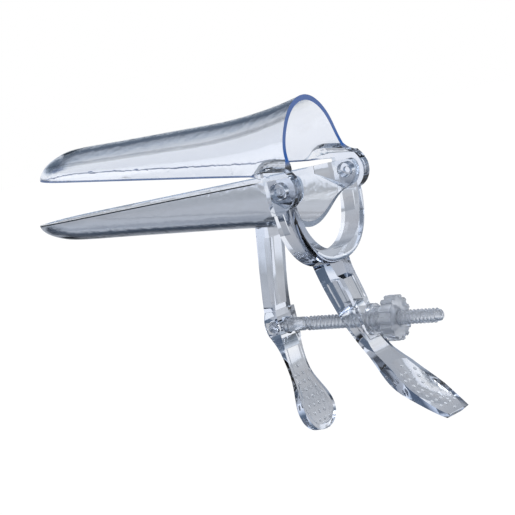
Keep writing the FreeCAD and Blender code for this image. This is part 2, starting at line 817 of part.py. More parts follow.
for made in doc.Objects:
    if "Invalid" in made.State or "Error" in made.State:
        raise RuntimeError(f"{made.Name} failed: {made.State}")

os.makedirs("parts", exist_ok=True)
for node in (lower_blade, upper_blade, screw_body, collar_body, nut_body):
    shape = node.Shape
    if shape.isNull() or not shape.isValid():
        raise RuntimeError(f"{node.Label} has no valid shape")
    print(node.Label, "solids", len(shape.Solids), "volume", round(shape.Volume, 1), shape.BoundBox)
    shape.exportStep(f"parts/{node.Label}.step")
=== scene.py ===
"""Dresses the clear plastic bivalve speculum: mouldings, threaded screw, ribbed nut, grip pips, studio."""

import json
import math
from collections import namedtuple

import bmesh
import bpy
from mathutils import Matrix, Vector


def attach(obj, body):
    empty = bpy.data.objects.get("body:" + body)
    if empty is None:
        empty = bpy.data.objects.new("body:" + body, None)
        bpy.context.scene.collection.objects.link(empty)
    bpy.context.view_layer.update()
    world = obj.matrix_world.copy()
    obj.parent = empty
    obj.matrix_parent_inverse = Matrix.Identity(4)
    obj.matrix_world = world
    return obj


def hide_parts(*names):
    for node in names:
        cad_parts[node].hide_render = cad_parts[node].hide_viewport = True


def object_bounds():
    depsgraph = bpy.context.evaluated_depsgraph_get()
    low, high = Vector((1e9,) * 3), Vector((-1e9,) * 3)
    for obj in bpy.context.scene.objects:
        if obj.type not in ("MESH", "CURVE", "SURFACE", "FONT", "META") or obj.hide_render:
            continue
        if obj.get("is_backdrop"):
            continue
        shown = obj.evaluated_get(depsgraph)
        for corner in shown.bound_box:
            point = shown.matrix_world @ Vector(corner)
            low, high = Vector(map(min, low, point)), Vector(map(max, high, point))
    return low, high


bl_info = {
    "name": "Clear Bivalve Speculum",
    "version": (1, 0, 0),
    "blender": (4, 5, 0),
    "location": "3D View > Sidebar > Speculum",
    "description": "Builds a clear plastic bivalve speculum round its packed frame",
    "category": "Add Mesh",
}

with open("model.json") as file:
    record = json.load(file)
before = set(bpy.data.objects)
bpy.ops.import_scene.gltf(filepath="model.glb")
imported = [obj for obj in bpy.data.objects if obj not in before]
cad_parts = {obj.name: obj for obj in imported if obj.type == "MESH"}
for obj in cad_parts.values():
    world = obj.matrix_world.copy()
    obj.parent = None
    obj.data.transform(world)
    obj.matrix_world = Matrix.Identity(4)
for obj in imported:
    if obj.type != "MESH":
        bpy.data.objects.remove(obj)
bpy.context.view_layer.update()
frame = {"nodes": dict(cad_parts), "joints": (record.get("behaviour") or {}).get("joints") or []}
JOINTS = {joint["name"]: joint for joint in frame["joints"]}
SCREW_HEAD = Vector(JOINTS["screw_swing"]["pos_m"])
SCREW_WAY = Vector(JOINTS["collar_slide"]["axis"]).normalized()
MM = 0.001
TO_USER = (1, 0, 0)
ALONG_HINGE = (0, 1, 0)
UPRIGHT = (0, 0, 1)


class PlasticSettings(bpy.types.PropertyGroup):
    """Colour and finish of the clear plastic."""

    tint: bpy.props.FloatVectorProperty(
        name="Tint", description="Colour of the light that a thin wall lets through",
        subtype="COLOR", size=3, default=(0.975, 0.985, 1.0), min=0, max=1,
    )
    # Painted glow: the blue light that comes out along the wall at the upper blade's mouth is painted into
    # the end face's colour.
    painted_rim_glow: bpy.props.FloatVectorProperty(
        name="Rim Tint",
        description="Colour of the upper blade's end face at the mouth, where light comes out along the wall",
        subtype="COLOR", size=3, default=(0.055, 0.19, 0.60), min=0, max=1,
    )
    # Painted glow: a pale blue painted light on the lower blade's end face and along its long edges.
    painted_pale_glow: bpy.props.FloatVectorProperty(
        name="Pale Rim Tint", description="Colour of the lower blade's end face and of its long edges",
        subtype="COLOR", size=3, default=(0.72, 0.84, 1.0), min=0, max=1,
    )
    # Painted shade: a dark blue painted along the upper blade's long edges, where clear plastic shows a dark
    # room.
    painted_edge_shade: bpy.props.FloatVectorProperty(
        name="Edge Tint", description="Colour of the upper blade's long narrow edges",
        subtype="COLOR", size=3, default=(0.22, 0.32, 0.56), min=0, max=1,
    )
    shade_tint: bpy.props.FloatVectorProperty(
        name="Shade Tint",
        description="Colour of the upper crown and of the lower blade's outer edges, which show a dark room",
        subtype="COLOR", size=3, default=(0.045, 0.055, 0.07), min=0, max=1,
    )
    depth_tint: bpy.props.FloatVectorProperty(
        name="Depth Tint", description="Colour that a long way through the plastic takes",
        subtype="COLOR", size=3, default=(0.50, 0.68, 1.0), min=0, max=1,
    )
    depth_density: bpy.props.FloatProperty(
        name="Depth Density", description="How fast the depth tint builds up, per metre", default=22.0, min=0,
    )
    refraction: bpy.props.FloatProperty(
        name="Refraction", description="Index of refraction of the plastic", default=1.55, min=1, max=3,
    )


class ScrewSettings(bpy.types.PropertyGroup):
    """Sizes of the threaded screw."""

    radius: bpy.props.FloatProperty(
        name="Thread Radius", description="Outside radius of the thread",
        default=2.35 * MM, unit="LENGTH", precision=5,
    )
    pitch: bpy.props.FloatProperty(
        name="Pitch", description="Distance from one thread to the next",
        default=1.35 * MM, unit="LENGTH", precision=5,
    )
    thread_depth: bpy.props.FloatProperty(
        name="Thread Depth", description="How deep the thread is cut",
        default=0.42 * MM, unit="LENGTH", precision=5,
    )
    turns: bpy.props.IntProperty(name="Turns", description="Whole turns of the thread", default=35, min=1)
    plain_length: bpy.props.FloatProperty(
        name="Plain Length", description="Length of the shank that has no thread, from the head's middle",
        default=9.5 * MM, unit="LENGTH", precision=5,
    )
    neck_start: bpy.props.FloatProperty(
        name="Neck Start", description="From the head's middle to the end of the shank inside the head",
        default=0.5 * MM, unit="LENGTH", precision=5,
    )
    plain_radius: bpy.props.FloatProperty(
        name="Plain Radius", description="Radius of the shank that has no thread",
        default=2.25 * MM, unit="LENGTH", precision=5,
    )
    length: bpy.props.FloatProperty(
        name="Length", description="From the head's middle to the free end",
        default=59.4 * MM, unit="LENGTH", precision=5,
    )
    head_radius: bpy.props.FloatProperty(
        name="Head Radius", description="Radius of the cross head",
        default=1.9 * MM, unit="LENGTH", precision=5,
    )
    head_length: bpy.props.FloatProperty(
        name="Head Length", description="Length of the cross head",
        default=9.0 * MM, unit="LENGTH", precision=5,
    )


class NutSettings(bpy.types.PropertyGroup):
    """Sizes of the ribbed thumb nut."""

    seat: bpy.props.FloatProperty(
        name="Seat", description="From the screw head's middle to the nut's near face",
        default=40.0 * MM, unit="LENGTH", precision=5,
    )
    thickness: bpy.props.FloatProperty(
        name="Thickness", description="Length of the nut along the screw",
        default=4.2 * MM, unit="LENGTH", precision=5,
    )
    radius: bpy.props.FloatProperty(
        name="Radius", description="Radius over the ribs", default=7.35 * MM, unit="LENGTH", precision=5,
    )
    rib_height: bpy.props.FloatProperty(
        name="Rib Height", description="How far a rib stands out of the nut",
        default=0.75 * MM, unit="LENGTH", precision=5,
    )
    ribs: bpy.props.IntProperty(name="Ribs", description="Number of ribs round the nut", default=14, min=3)
    bore: bpy.props.FloatProperty(
        name="Bore", description="Radius of the nut's hole", default=2.43 * MM, unit="LENGTH", precision=5,
    )


class PipSettings(bpy.types.PropertyGroup):
    """Sizes of the raised pips on the two grips."""

    radius: bpy.props.FloatProperty(
        name="Radius", description="Radius of a pip", default=0.65 * MM, unit="LENGTH", precision=5,
    )
    height: bpy.props.FloatProperty(
        name="Height", description="How far a pip stands out", default=0.32 * MM, unit="LENGTH", precision=5,
    )
    spacing: bpy.props.FloatProperty(
        name="Spacing", description="Distance between rows of pips",
        default=2.7 * MM, unit="LENGTH", precision=5,
    )


class StudioSettings(bpy.types.PropertyGroup):
    """Camera and light."""

    azimuth: bpy.props.FloatProperty(
        name="Azimuth", description="Camera's turn round the object",
        default=math.radians(32.588), subtype="ANGLE",
    )
    elevation: bpy.props.FloatProperty(
        name="Elevation", description="Camera's height angle", default=math.radians(4.324), subtype="ANGLE",
    )
    roll: bpy.props.FloatProperty(
        name="Roll", description="Camera's turn about its own view",
        default=math.radians(13.226), subtype="ANGLE",
    )
    distance: bpy.props.FloatProperty(
        name="Distance", description="From the camera to the hinge, along the view",
        default=0.8, unit="LENGTH",
    )
    aside: bpy.props.FloatVectorProperty(
        name="Aside", description="How far the hinge lies right of the view's middle and above it",
        size=2, default=(0.018478, 0.024678), unit="LENGTH",
    )
    lens: bpy.props.FloatProperty(
        name="Lens", description="Focal length in millimetres on a 36 mm sensor", default=175.83, min=1,
    )
    lamp_power: bpy.props.FloatProperty(
        name="Lamp Power", description="Power in watts that each lamp takes its share of", default=4.0, min=0,
    )


def deselect():
    bpy.ops.object.select_all(action="DESELECT")


def pick(obj):
    """Makes obj the only selected object, and the active one."""
    deselect()
    obj.select_set(True)
    bpy.context.view_layer.objects.active = obj


def open_for_edit(obj):
    pick(obj)
    bpy.ops.object.mode_set(mode="EDIT")
    bpy.ops.mesh.select_mode(type="VERT")


def close_edit():
    bpy.ops.object.mode_set(mode="OBJECT")


def select_verts(test):
    """Selects the vertices of the mesh in edit mode that pass the test."""
    mesh = bmesh.from_edit_mesh(bpy.context.object.data)
    for face in mesh.faces:
        face.select = False
    for edge in mesh.edges:
        edge.select = False
    for vert in mesh.verts:
        vert.select = test(vert)
    mesh.select_flush(True)
    bmesh.update_edit_mesh(bpy.context.object.data)


def select_faces(test):
    """Selects the faces of the mesh in edit mode that pass the test."""
    bpy.ops.mesh.select_all(action="DESELECT")
    bpy.ops.mesh.select_mode(type="FACE")
    mesh = bmesh.from_edit_mesh(bpy.context.object.data)
    for face in mesh.faces:
        face.select_set(test(face))
    bmesh.update_edit_mesh(bpy.context.object.data)


def apply_modifier(obj, kind, name, **values):
    """Adds a modifier with these values and applies it."""
    modifier = obj.modifiers.new(name, kind)
    for key, value in values.items():
        setattr(modifier, key, value)
    pick(obj)
    bpy.ops.object.modifier_apply(modifier=modifier.name)


def screw_matrix():
    """From the screw's own frame, along +X from its head, to the object's."""
    across = Vector(ALONG_HINGE)
    turned = Matrix((SCREW_WAY, across, SCREW_WAY.cross(across))).transposed()
    return Matrix.Translation(SCREW_HEAD) @ turned.to_4x4()


def onto_screw(obj):
    """Puts a piece drawn along +X in its place on the screw."""
    obj.matrix_world = screw_matrix()
    pick(obj)
    bpy.ops.object.transform_apply(location=True, rotation=True, scale=True)


def finish_piece(piece, name, body, material, *nodes):
    """Gives a piece its name, its material and its place among the CAD bodies."""
    piece.name = name
    piece.data.name = name
    piece.data.materials.clear()
    piece.data.materials.append(material)
    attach(piece, body)
    if nodes:
        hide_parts(*nodes)


class Nodes:
    """The node tree of a material or of the world, with short ways to add and join nodes."""

    def __init__(self, tree):
        self.tree = tree

    def add(self, kind, **values):
        node = self.tree.nodes.new(kind)
        for key, value in values.items():
            setattr(node, key, value)
        return node

    def feed(self, target, source):
        """Joins a socket to another, or sets it to a value."""
        if isinstance(source, bpy.types.NodeSocket):
            self.tree.links.new(source, target)
        else:
            target.default_value = source

    def math(self, operation, first, second=0.0):
        node = self.add("ShaderNodeMath", operation=operation)
        self.feed(node.inputs[0], first)
        self.feed(node.inputs[1], second)
        return node.outputs["Value"]

    def dot(self, vector, way):
        node = self.add("ShaderNodeVectorMath", operation="DOT_PRODUCT")
        self.feed(node.inputs[0], vector)
        node.inputs[1].default_value = way
        return node.outputs["Value"]

    def ramp(self, value, low, high, start=0.0, end=1.0):
        """start at low and end at high, smoothly between them."""
        node = self.add("ShaderNodeMapRange", interpolation_type="SMOOTHSTEP")
        self.feed(node.inputs["Value"], value)
        node.inputs["From Min"].default_value = low
        node.inputs["From Max"].default_value = high
        node.inputs["To Min"].default_value = start
        node.inputs["To Max"].default_value = end
        return node.outputs["Result"]

    def fall(self, value, low, high):
        """1 up to low and 0 from high on, smoothly between them."""
        return self.ramp(value, low, high, 1.0, 0.0)

    def both(self, first, second):
        """Where two masks overlap: their product."""
        return self.math("MULTIPLY", first, second)

    def blend(self, factor, first, second):
        node = self.add("ShaderNodeMix", data_type="RGBA")
        self.feed(node.inputs["Factor"], factor)
        self.feed(node.inputs["A"], first)
        self.feed(node.inputs["B"], second)
        return node.outputs["Result"]

    def noise(self, vector, scale, detail):
        node = self.add("ShaderNodeTexNoise")
        node.inputs["Scale"].default_value = scale
        node.inputs["Detail"].default_value = detail
        self.feed(node.inputs["Vector"], vector)
        return node.outputs["Fac"]

    def camera_or_not(self, to_camera, to_others):
        """One shader for rays straight from the camera, and another for all other rays."""
        path = self.add("ShaderNodeLightPath")
        mix = self.add("ShaderNodeMixShader")
        self.feed(mix.inputs["Fac"], path.outputs["Is Camera Ray"])
        self.feed(mix.inputs[1], to_others)
        self.feed(mix.inputs[2], to_camera)
        return mix.outputs["Shader"]


def opaque(colour):
    return (*colour, 1.0)


# A part of a moulding with painted light: a glow or a shade painted into its colour. The mask is a function
# of the nodes, the surface's place and its normal, and says where the painted tint lies. The cover is how
# much of the view through the plastic the tint takes away.
PaintedMark = namedtuple("PaintedMark", "mask tint cover")

# Frost is the least roughness, ripple the height of the moulding's waves, and milk the share of light that
# is scattered instead of let through.
POLISHED = {"frost": 0.01, "ripple": 0.015 * MM}
COLLAR_FINISH = {"frost": 0.12, "ripple": 0.02 * MM, "milk": 0.15}
SCREW_FINISH = {"frost": 0.17, "ripple": 0.01 * MM, "milk": 0.25}
NUT_FINISH = {"frost": 0.12, "ripple": 0.01 * MM, "milk": 0.32}
PIP_FINISH = {"frost": 0.12, "ripple": 0.01 * MM, "milk": 0.85}

# Scales are per metre.
HAZE_SCALE = 90.0
HAZE_DETAIL = 3.0
HAZE_RANGE = (0.3, 0.7)
HAZE_ROUGHNESS = 0.04
HAZE_DARKENING = 0.97
RIPPLE_SCALE = 55.0
RIPPLE_DETAIL = 1.0


def clear_plastic(name, frost, ripple, painted_marks=(), milk=0.0):
    """Clear polystyrene with a finish, and with painted glow and painted shade on it."""
    settings = bpy.context.scene.speculum_plastic
    material = bpy.data.materials.new(name)
    material.use_nodes = True
    nodes = Nodes(material.node_tree)
    shader = material.node_tree.nodes["Principled BSDF"]
    shader.inputs["IOR"].default_value = settings.refraction
    place = nodes.add("ShaderNodeTexCoord")
    here = place.outputs["Object"]
    facing = place.outputs["Normal"]
    haze = nodes.noise(here, HAZE_SCALE, HAZE_DETAIL)
    roughness = nodes.ramp(haze, *HAZE_RANGE, frost, frost + HAZE_ROUGHNESS)
    nodes.feed(shader.inputs["Roughness"], roughness)
    hazy_tint = [channel * HAZE_DARKENING for channel in settings.tint]
    colour = nodes.blend(haze, opaque(settings.tint), opaque(hazy_tint))
    clear = 1.0 - milk
    # Each painted mark blends its painted glow or painted shade into the colour and takes some of the view
    # through away.
    for painted_mark in painted_marks:
        share = painted_mark.mask(nodes, here, facing)
        colour = nodes.blend(share, colour, opaque(painted_mark.tint))
        kept = nodes.math("SUBTRACT", 1.0, nodes.both(share, painted_mark.cover))
        clear = nodes.both(kept, clear)
    nodes.feed(shader.inputs["Transmission Weight"], clear)
    nodes.feed(shader.inputs["Base Color"], colour)
    bump = nodes.add("ShaderNodeBump")
    bump.inputs["Distance"].default_value = ripple
    nodes.feed(bump.inputs["Height"], nodes.noise(here, RIPPLE_SCALE, RIPPLE_DETAIL))
    nodes.feed(shader.inputs["Normal"], bump.outputs["Normal"])
    depth = nodes.add("ShaderNodeVolumeAbsorption")
    depth.inputs["Color"].default_value = opaque(settings.depth_tint)
    depth.inputs["Density"].default_value = settings.depth_density
    nodes.feed(material.node_tree.nodes["Material Output"].inputs["Volume"], depth.outputs["Volume"])
    return material


# At rest the upper blade stands open by this angle. Its own ways to the user and up are turned with it.
OPENED = math.radians(8.0)
UPPER_TO_USER = (math.cos(OPENED), 0, -math.sin(OPENED))
UPPER_UPRIGHT = (math.sin(OPENED), 0, math.cos(OPENED))

# Each pair says where a mask starts and where it is full, or the other way round where it falls. Levels are
# heights, places lie along the way to the user, and a facing is the cosine between a normal and a way.
# UPPER_EDGE and LOWER_EDGE are the heights of the blades' long edges, each in its own blade's directions.
EDGE_DEPTH = 0.36 * MM
EDGE_FADE = 1.3
UPPER_EDGE = 4.0 * MM
UPPER_EDGE_LEVELS = (UPPER_EDGE + EDGE_DEPTH, UPPER_EDGE + EDGE_DEPTH * EDGE_FADE)
UPPER_EDGE_PLACES = (-11.0 * MM, -9.0 * MM)
UPPER_RIM_FACING = (0.55, 0.85)
UPPER_RIM_LEVELS = (6.5 * MM, 9.0 * MM)
CROWN_FACING = (0.64, 0.68)
CROWN_LINE_FACING = (0.63, 0.66)
CROWN_LINE_END_FACING = (0.68, 0.72)
CROWN_LEVELS = (5.0 * MM, 7.0 * MM)
CROWN_PLACES = (0.0, 2.0 * MM)
CROWN_SHARE = 0.25
CROWN_LINE_SHARE = 0.6
LOWER_EDGE = 3.7 * MM
LOWER_EDGE_LEVELS = (LOWER_EDGE - EDGE_DEPTH * EDGE_FADE, LOWER_EDGE - EDGE_DEPTH)
LOWER_EDGE_PLACES = (-13.0 * MM, -11.0 * MM)
LOWER_EDGE_OUTWARD = (1.0 * MM, 3.0 * MM)
LOWER_RIM_FACING = (0.35, 0.7)
LOWER_RIM_PLACES = (-8.0 * MM, -6.5 * MM)
LOWER_RIM_LEVELS = (-16.0 * MM, -15.0 * MM)
LOWER_RIM_SHARE = 0.8


def upper_rim(nodes, here, facing):
    """The end face of the upper blade's mouth."""
    towards = nodes.ramp(nodes.dot(facing, UPPER_TO_USER), *UPPER_RIM_FACING)
    above = nodes.ramp(nodes.dot(here, UPPER_UPRIGHT), *UPPER_RIM_LEVELS)
    return nodes.both(towards, above)


def upper_edge(nodes, here, facing):
    """The level edges along the upper blade, and a little of the wall above them."""
    low = nodes.fall(nodes.dot(here, UPPER_UPRIGHT), *UPPER_EDGE_LEVELS)
    ahead = nodes.fall(nodes.dot(here, UPPER_TO_USER), *UPPER_EDGE_PLACES)
    return nodes.both(low, ahead)


def upper_crown(nodes, here, facing):
    """The crown of the upper blade, faintly shaded, with a darker line where the crown starts."""
    lean = nodes.dot(facing, UPPER_UPRIGHT)
    band = nodes.ramp(lean, *CROWN_FACING, 0.0, CROWN_SHARE)
    line_start = nodes.ramp(lean, *CROWN_LINE_FACING, 0.0, CROWN_LINE_SHARE)
    line = nodes.both(line_start, nodes.fall(lean, *CROWN_LINE_END_FACING))
    high = nodes.ramp(nodes.dot(here, UPPER_UPRIGHT), *CROWN_LEVELS)
    ahead = nodes.fall(nodes.dot(here, UPPER_TO_USER), *CROWN_PLACES)
    return nodes.both(nodes.math("MAXIMUM", band, line), nodes.both(high, ahead))


def lower_rim(nodes, here, facing):
    """The end face of the lower blade's mouth."""
    towards = nodes.ramp(nodes.dot(facing, TO_USER), *LOWER_RIM_FACING, 0.0, LOWER_RIM_SHARE)
    behind = nodes.ramp(nodes.dot(here, TO_USER), *LOWER_RIM_PLACES)
    within = nodes.ramp(nodes.dot(here, UPRIGHT), *LOWER_RIM_LEVELS)
    return nodes.both(towards, nodes.both(behind, within))


def lower_edge(nodes, here, facing):
    """The level edges along the lower blade, and a little of the wall below them."""
    high = nodes.ramp(nodes.dot(here, UPRIGHT), *LOWER_EDGE_LEVELS)
    ahead = nodes.fall(nodes.dot(here, TO_USER), *LOWER_EDGE_PLACES)
    return nodes.both(high, ahead)


def lower_edge_outside(nodes, here, facing):
    """The part of the lower blade's edges that faces away from the middle."""
    outward = nodes.both(nodes.dot(here, ALONG_HINGE), nodes.dot(facing, ALONG_HINGE))
    return nodes.both(lower_edge(nodes, here, facing), nodes.ramp(outward, *LOWER_EDGE_OUTWARD))


class SPECULUM_OT_mouldings(bpy.types.Operator):
    """Give the two blade mouldings and the collar their clear plastic"""

    bl_idname = "speculum.mouldings"
    bl_label = "Blade Mouldings and Collar"

    def execute(self, context):
        plastic = context.scene.speculum_plastic
        # Painted light on the lower blade: a pale painted glow on its long edges and mouth, and painted shade
        # on the edges' outer side.
        lower_painted_light = [
            PaintedMark(lower_edge, plastic.painted_pale_glow, cover=0.3),
            PaintedMark(lower_edge_outside, plastic.shade_tint, cover=0.7),
            PaintedMark(lower_rim, plastic.painted_pale_glow, cover=0.8),
        ]
        # Painted light on the upper blade: painted shade on the crown, dark painted shade on the long edges,
        # and a blue painted glow at the mouth.
        upper_painted_light = [
            PaintedMark(upper_crown, plastic.shade_tint, cover=0.0),
            PaintedMark(upper_edge, plastic.painted_edge_shade, cover=0.6),
            PaintedMark(upper_rim, plastic.painted_rim_glow, cover=0.85),
        ]
        finishes = {
            "lower_blade": clear_plastic("lower_polystyrene", painted_marks=lower_painted_light, **POLISHED),
            "upper_blade": clear_plastic("upper_polystyrene", painted_marks=upper_painted_light, **POLISHED),
            "thrust_collar": clear_plastic("collar_polystyrene", **COLLAR_FINISH),
        }
        for node, finish in finishes.items():
            for slot in frame["nodes"][node].material_slots:
                slot.material = finish
        return {"FINISHED"}


# Root, flank, crest, flank and root again, as shares of the pitch and steps of the thread's depth.
THREAD_FORM = [(0.14, 0), (0.30, 1), (0.12, 0), (0.30, -1), (0.14, 0)]
THREAD_SEGMENTS = 24
# Shares of the nose's length and of the root's radius. The last ring is the pinhole that is merged shut.
PINHOLE = 0.01
NOSE_FORM = [(0.45, 0.92), (0.8, 0.68), (1.0, 0.3), (1.0, PINHOLE)]
# How far before the thread's start the root begins to widen, and is as wide as the plain shank.
RUN_OUT_START = 0.1 * MM
RUN_OUT_END = 0.6 * MM
WELD_DISTANCE = 0.002 * MM
SAME_PLACE = 1e-7
HEAD_SIDES = 40
HEAD_ROUNDING = 0.35 * MM
HEAD_EDGE_ANGLE = math.radians(40)
SMOOTH_ANGLE = math.radians(35)


def thread_profile(screw):
    """An open line of edges, one pitch long, that the thread is swept from."""
    root = screw.radius - screw.thread_depth
    deselect()
    bpy.ops.mesh.primitive_plane_add(size=1.0 * MM, location=(0, 0, 0))
    profile = bpy.context.object
    open_for_edit(profile)
    bpy.ops.mesh.select_all(action="SELECT")
    bpy.ops.mesh.merge(type="CENTER")
    bpy.ops.transform.translate(value=(screw.plain_length, 0, root))
    for along, out in THREAD_FORM:
        step = (along * screw.pitch, 0, out * screw.thread_depth)
        bpy.ops.mesh.extrude_vertices_move(TRANSFORM_OT_translate={"value": step})
    close_edit()
    return profile


def close_thread(screw, rings, far):
    """Carries the thread's open end on through rings of (place along, radius), and shuts it on the axis."""
    root = screw.radius - screw.thread_depth
    middle = screw.plain_length + screw.pitch * screw.turns / 2
    select_verts(lambda v: v.is_boundary and (v.co.x > middle) == far)
    radius = root
    for number, (along, wanted) in enumerate(rings):
        bpy.ops.mesh.extrude_edges_move(TRANSFORM_OT_translate={"value": (0, 0, 0)})
        bpy.ops.transform.resize(value=(0, 1, 1), center_override=(along, 0, 0))
        if number == 0:
            # The open end runs over root and crest: its crest is drawn in to the root's radius.
            level = root + screw.thread_depth / 2
            select_verts(lambda v: abs(v.co.x - along) < SAME_PLACE and v.co.yz.length > level)
            shrink = root / screw.radius
            bpy.ops.transform.resize(value=(1, shrink, shrink), center_override=(along, 0, 0))
            select_verts(lambda v: abs(v.co.x - along) < SAME_PLACE)
        scale = wanted / radius
        bpy.ops.transform.resize(value=(1, scale, scale), center_override=(along, 0, 0))
        radius = wanted
    bpy.ops.mesh.merge(type="CENTER")


class SPECULUM_OT_screw(bpy.types.Operator):
    """Build the screw with its cross head, plain neck, thread and rounded nose"""

    bl_idname = "speculum.screw"
    bl_label = "Threaded Screw"

    def execute(self, context):
        screw = context.scene.speculum_screw
        piece = thread_profile(screw)
        apply_modifier(
            piece, "SCREW", "thread", axis="X", angle=2 * math.pi, screw_offset=screw.pitch,
            iterations=screw.turns, steps=THREAD_SEGMENTS, render_steps=THREAD_SEGMENTS,
            use_smooth_shade=False,
        )
        thread_end = screw.plain_length + screw.pitch * (screw.turns + 1)
        root = screw.radius - screw.thread_depth
        nose = screw.length - thread_end
        nose_rings = [(thread_end, root)]
        nose_rings += [(thread_end + along * nose, root * out) for along, out in NOSE_FORM]
        neck_rings = [
            (screw.plain_length - RUN_OUT_START, root),
            (screw.plain_length - RUN_OUT_END, screw.plain_radius),
            (screw.plain_length * 0.5, screw.plain_radius),
            (screw.neck_start, screw.plain_radius),
            (screw.neck_start, screw.plain_radius * PINHOLE),
        ]
        open_for_edit(piece)
        bpy.ops.mesh.select_all(action="SELECT")
        bpy.ops.mesh.remove_doubles(threshold=WELD_DISTANCE)
        close_thread(screw, nose_rings, far=True)
        close_thread(screw, neck_rings, far=False)
        bpy.ops.mesh.select_all(action="SELECT")
        bpy.ops.mesh.remove_doubles(threshold=WELD_DISTANCE)
        bpy.ops.mesh.normals_make_consistent(inside=False)
        close_edit()
        deselect()
        bpy.ops.mesh.primitive_cylinder_add(
            vertices=HEAD_SIDES, radius=screw.head_radius, depth=screw.head_length,
            rotation=(math.pi / 2, 0, 0),
        )
        head = context.object
        bpy.ops.object.transform_apply(location=True, rotation=True, scale=True)
        apply_modifier(
            head, "BEVEL", "round", width=HEAD_ROUNDING, segments=3, angle_limit=HEAD_EDGE_ANGLE,
        )
        apply_modifier(piece, "BOOLEAN", "head", operation="UNION", solver="EXACT", object=head)
        bpy.data.objects.remove(head)
        pick(piece)
        bpy.ops.object.shade_smooth_by_angle(angle=SMOOTH_ANGLE)
        onto_screw(piece)
        plastic = clear_plastic("screw_polystyrene", **SCREW_FINISH)
        finish_piece(piece, "threaded_screw", "screw", plastic, "screw")
        return {"FINISHED"}


FACES_PER_RIB = 4
COUNTERSINK_WIDTH = 0.5 * MM
COUNTERSINK_DEPTH = 0.25 * MM
RIB_ROUNDING = 0.24 * MM
RIB_EDGE_ANGLE = math.radians(30)


class SPECULUM_OT_nut(bpy.types.Operator):
    """Build the thumb nut with its rounded ribs"""

    bl_idname = "speculum.nut"
    bl_label = "Ribbed Thumb Nut"

    def execute(self, context):
        nut = context.scene.speculum_nut
        barrel = nut.radius - nut.rib_height
        deselect()
        bpy.ops.mesh.primitive_cylinder_add(
            vertices=nut.ribs * FACES_PER_RIB, radius=barrel, depth=nut.thickness,
            location=(nut.seat + nut.thickness / 2, 0, 0), rotation=(0, math.pi / 2, 0),
        )
        piece = context.object
        bpy.ops.object.transform_apply(location=True, rotation=True, scale=True)
        open_for_edit(piece)
        step = 2 * math.pi / nut.ribs

        def on_rib(face):
            """The face is on the barrel, in the half of its step where a rib stands."""
            middle = face.calc_center_median()
            turn = math.atan2(middle.y, middle.z) % step
            return abs(face.normal.x) < 0.5 and turn > step / 2

        def is_end(face):
            """The face is one of the two round ends, which have a corner for each face of the barrel."""
            return abs(face.normal.x) > 0.9 and len(face.verts) > 8

        select_faces(on_rib)
        bpy.ops.mesh.extrude_region_shrink_fatten(TRANSFORM_OT_shrink_fatten={"value": nut.rib_height})
        select_faces(is_end)
        bpy.ops.mesh.inset(thickness=barrel - nut.bore - COUNTERSINK_WIDTH, depth=0)
        bpy.ops.mesh.inset(thickness=COUNTERSINK_WIDTH, depth=-COUNTERSINK_DEPTH)
        bpy.ops.mesh.bridge_edge_loops()
        close_edit()
        apply_modifier(
            piece, "BEVEL", "rounding", width=RIB_ROUNDING, segments=3, angle_limit=RIB_EDGE_ANGLE,
            use_clamp_overlap=True,
        )
        pick(piece)
        bpy.ops.object.shade_smooth_by_angle(angle=SMOOTH_ANGLE)
        onto_screw(piece)
        plastic = clear_plastic("nut_polystyrene", **NUT_FINISH)
        finish_piece(piece, "ribbed_nut", "nut", plastic, "thumb_nut")
        return {"FINISHED"}


# Each grip is an oval round its middle on a moulding's face: the way out of the face and the way along it.
GRIPS = {
    "finger_grip_pips": {
        "node": "lower_blade",
        "body": "lower",
        "middle": (-19.4 * MM, 0, -68.5 * MM),
        "outward": (1, 0, 0.12),
        "along": (0.12, 0, -1),
        "half_width": 6.9 * MM,
        "half_length": 11.5 * MM,
    },
    "thumb_grip_pips": {
        "node": "upper_blade",
        "body": "upper",
        "middle": (24.5 * MM, 0, -69.5 * MM),
        "outward": (0.70, 0, 0.71),
        "along": (0.71, 0, -0.70),
        "half_width": 7.4 * MM,
        "half_length": 11.0 * MM,
    },
}
# Spread and stagger are shares of the spacing. Rays start above the grip, and a pip is laid only where the
# cosine between the surface's normal and the way out is at least this.
COLUMNS_EACH_WAY = 4
COLUMN_SPREAD = 1.15
STAGGER = 0.5
PIP_SEGMENTS = 14
PIP_RINGS = 10
PIP_SINK = 0.1 * MM
ABOVE_GRIP = 12 * MM
LEAST_FACING = 0.5


def pip_places(pips, half_width, half_length):
    """Staggered places inside an oval, as (across, along)."""
    places = []
    rows = int(half_length / pips.spacing)
    for row in range(-rows, rows + 1):
        along = row * pips.spacing
        shift = STAGGER * (row % 2)
        for column in range(-COLUMNS_EACH_WAY, COLUMNS_EACH_WAY + 1):
            across = (column + shift) * pips.spacing * COLUMN_SPREAD
            if (across / half_width) ** 2 + (along / half_length) ** 2 < 1:
                places.append((across, along))
    return places


def one_pip(pips):
    """A low dome, flattened from a ball, with its lower part cut off under the skin.

    The cut counts what lies within 0.1 mm of it as on it. So the dome ends one ring deeper than the cut, and
    the strip above that ring has its faces twice, out of sight under the skin.
    """
    deselect()
    bpy.ops.mesh.primitive_uv_sphere_add(
        segments=PIP_SEGMENTS, ring_count=PIP_RINGS, radius=pips.radius, location=(0, 0, 0),
    )
    pip = bpy.context.object
    open_for_edit(pip)
    bpy.ops.mesh.select_all(action="SELECT")
    bpy.ops.transform.resize(value=(1, 1, pips.height / pips.radius), center_override=(0, 0, 0))
    bpy.ops.mesh.bisect(
        plane_co=(0, 0, -PIP_SINK), plane_no=(0, 0, 1), use_fill=True, clear_inner=True, clear_outer=False,
    )
    close_edit()
    bpy.ops.object.shade_smooth()
    return pip


